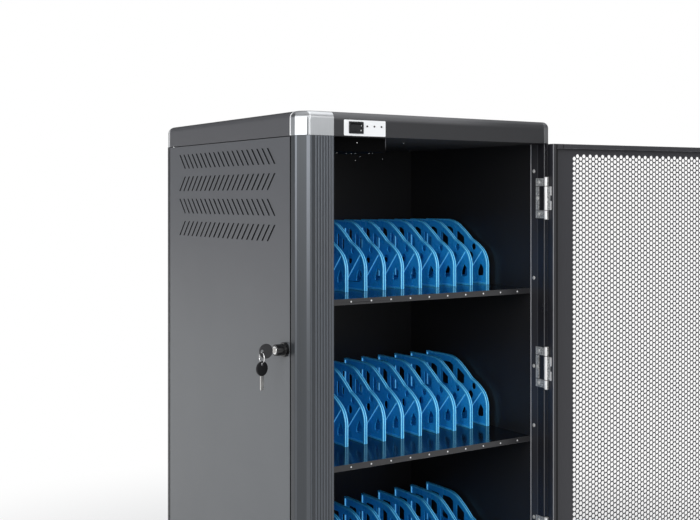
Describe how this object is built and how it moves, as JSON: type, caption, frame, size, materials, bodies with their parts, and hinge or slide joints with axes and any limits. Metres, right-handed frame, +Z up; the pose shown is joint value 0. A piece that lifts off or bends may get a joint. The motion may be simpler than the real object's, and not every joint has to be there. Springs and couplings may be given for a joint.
{
  "type": "device charging cabinet",
  "caption": "Wheeled steel charging cabinet with a perforated front door, a lockable side door, shelves with upright dividers, a rocker switch and swivel casters.",
  "frame": {"origin": "on the floor under the middle of the body's plan", "axes": "+X to the right of someone facing the front door, +Y to the back, +Z up"},
  "size_m": [1.2142, 0.734, 1.2],
  "materials": {
    "frame_black": "satin powder coat",
    "post_extrusion": "dark satin anodised",
    "cap_charcoal": "satin",
    "corner_silver": "satin",
    "panel_grey": "smooth satin powder coat",
    "interior_black": "gloss powder coat",
    "shelf_gloss": "gloss",
    "divider_blue": "moulded",
    "panel_white": "smooth",
    "switch_black": "moulded",
    "lamp_dark": "clear",
    "door_inside": "satin powder coat",
    "hinge_steel": "zinc plated",
    "screw_steel": "zinc plated",
    "rivet_white": "moulded",
    "lock_black": "moulded",
    "lock_metal": "polished",
    "key_bow": "nickel plated",
    "key_wire": "polished",
    "pull_metal": "satin",
    "caster_steel": "zinc plated",
    "wheel_rubber": "matt",
    "brake_plastic": "moulded",
    "strip_white": "moulded",
    "inlet_black": "moulded"
  },
  "bodies": {
    "cabinet": {"base_frame": "frame_black", "left_front_post": "post_extrusion", "right_front_post": "frame_black", "rear_posts": "frame_black", "top_cap": "cap_charcoal", "left_corner_cap": "corner_silver", "right_corner_cap": "corner_silver", "ceiling_panel": "interior_black", "upper_shelf": "shelf_gloss", "middle_shelf": "shelf_gloss", "lower_shelf": "shelf_gloss", "inner_left_wall": "interior_black", "inner_right_wall": "interior_black", "inner_back_wall": "interior_black", "right_side_panel": "panel_grey", "back_panel": "panel_grey", "upper_dividers": "divider_blue", "middle_dividers": "divider_blue", "lower_dividers": "divider_blue", "control_panel": "panel_white", "rocker_bezel": "switch_black", "indicator_lamps": "lamp_dark", "control_box": "interior_black", "power_strips": "strip_white", "mains_inlet": "inlet_black", "hinge_frame_leaves": "hinge_steel", "hinge_pins": "hinge_steel", "frame_screws": "screw_steel", "lip_rivets": "rivet_white", "caster_plates": "caster_steel", "side_door_pins": "hinge_steel"},
    "power_rocker": {"rocker_switch": "switch_black"},
    "front_door": {"door_frame": "door_inside", "door_mesh": "door_inside", "hinge_door_leaves": "hinge_steel", "door_pull": "pull_metal", "door_lock_body": "lock_metal"},
    "door_lock": {"door_lock_plug": "lock_metal", "door_lock_cam": "hinge_steel"},
    "side_door": {"side_panel": "panel_grey", "side_lock_body": "lock_black"},
    "side_lock": {"side_lock_plug": "lock_metal", "side_lock_cam": "hinge_steel"},
    "key": {"key_in_lock": "key_bow"},
    "ring": {"key_ring": "key_wire"},
    "second_key": {"spare_key": "key_bow"},
    "swivel_front_left": {"caster_fork_front_left": "caster_steel", "caster_axle_front_left": "screw_steel"},
    "wheel_front_left": {"caster_wheel_front_left": "wheel_rubber"},
    "brake_front_left": {"brake_pedal_front_left": "brake_plastic"},
    "swivel_front_right": {"caster_fork_front_right": "caster_steel", "caster_axle_front_right": "screw_steel"},
    "wheel_front_right": {"caster_wheel_front_right": "wheel_rubber"},
    "brake_front_right": {"brake_pedal_front_right": "brake_plastic"},
    "swivel_rear_left": {"caster_fork_rear_left": "caster_steel", "caster_axle_rear_left": "screw_steel"},
    "wheel_rear_left": {"caster_wheel_rear_left": "wheel_rubber"},
    "swivel_rear_right": {"caster_fork_rear_right": "caster_steel", "caster_axle_rear_right": "screw_steel"},
    "wheel_rear_right": {"caster_wheel_rear_right": "wheel_rubber"}
  },
  "joints": [
    {"name": "front_door_hinge", "type": "hinge", "parent": "cabinet", "child": "front_door", "pos_m": [0.2935, -0.321, 0.661], "axis": [0, 0, 1], "range_deg": [-173, 7]},
    {"name": "side_door_hinge", "type": "hinge", "parent": "cabinet", "child": "side_door", "pos_m": [-0.314, 0.295, 0.661], "axis": [0, 0, -1], "range_deg": [0, 110]},
    {"name": "power_rocker_tilt", "type": "hinge", "parent": "cabinet", "child": "power_rocker", "pos_m": [-0.1989, -0.3183, 1.16995], "axis": [-1, 0, 0], "range_deg": [0, 16]},
    {"name": "door_lock_turn", "type": "hinge", "parent": "front_door", "child": "door_lock", "pos_m": [0.79709, -0.38384, 0.661], "axis": [-0.1219, -0.9925, 0], "range_deg": [0, 90]},
    {"name": "side_lock_turn", "type": "hinge", "parent": "side_door", "child": "side_lock", "pos_m": [-0.32, -0.26, 0.742], "axis": [-1, 0, 0], "range_deg": [0, 90]},
    {"name": "key_pull", "type": "slide", "parent": "side_lock", "child": "key", "axis": [-1, 0, 0], "range_m": [0, 0.023]},
    {"name": "ring_swing", "type": "hinge", "parent": "key", "child": "ring", "pos_m": [-0.3715, -0.26, 0.74], "axis": [0, 1, 0], "range_deg": [-25, 30]},
    {"name": "second_key_swing", "type": "hinge", "parent": "ring", "child": "second_key", "pos_m": [-0.3715, -0.26, 0.72], "axis": [0, 1, 0], "range_deg": [-15, 25]},
    {"name": "swivel_front_left_turn", "type": "hinge", "parent": "cabinet", "child": "swivel_front_left", "pos_m": [-0.245, -0.245, 0.105], "axis": [0, 0, 1], "continuous": true},
    {"name": "wheel_front_left_spin", "type": "hinge", "parent": "swivel_front_left", "child": "wheel_front_left", "pos_m": [-0.245, -0.217, 0.045], "axis": [1, 0, 0], "continuous": true},
    {"name": "brake_front_left_press", "type": "hinge", "parent": "swivel_front_left", "child": "brake_front_left", "pos_m": [-0.245, -0.191, 0.091], "axis": [-1, 0, 0], "range_deg": [0, 14]},
    {"name": "swivel_front_right_turn", "type": "hinge", "parent": "cabinet", "child": "swivel_front_right", "pos_m": [0.245, -0.245, 0.105], "axis": [0, 0, 1], "continuous": true},
    {"name": "wheel_front_right_spin", "type": "hinge", "parent": "swivel_front_right", "child": "wheel_front_right", "pos_m": [0.245, -0.217, 0.045], "axis": [1, 0, 0], "continuous": true},
    {"name": "brake_front_right_press", "type": "hinge", "parent": "swivel_front_right", "child": "brake_front_right", "pos_m": [0.245, -0.191, 0.091], "axis": [-1, 0, 0], "range_deg": [0, 14]},
    {"name": "swivel_rear_left_turn", "type": "hinge", "parent": "cabinet", "child": "swivel_rear_left", "pos_m": [-0.245, 0.245, 0.105], "axis": [0, 0, 1], "continuous": true},
    {"name": "wheel_rear_left_spin", "type": "hinge", "parent": "swivel_rear_left", "child": "wheel_rear_left", "pos_m": [-0.273, 0.245, 0.045], "axis": [0, 1, 0], "continuous": true},
    {"name": "swivel_rear_right_turn", "type": "hinge", "parent": "cabinet", "child": "swivel_rear_right", "pos_m": [0.245, 0.245, 0.105], "axis": [0, 0, 1], "continuous": true},
    {"name": "wheel_rear_right_spin", "type": "hinge", "parent": "swivel_rear_right", "child": "wheel_rear_right", "pos_m": [0.273, 0.245, 0.045], "axis": [0, -1, 0], "continuous": true}
  ]
}
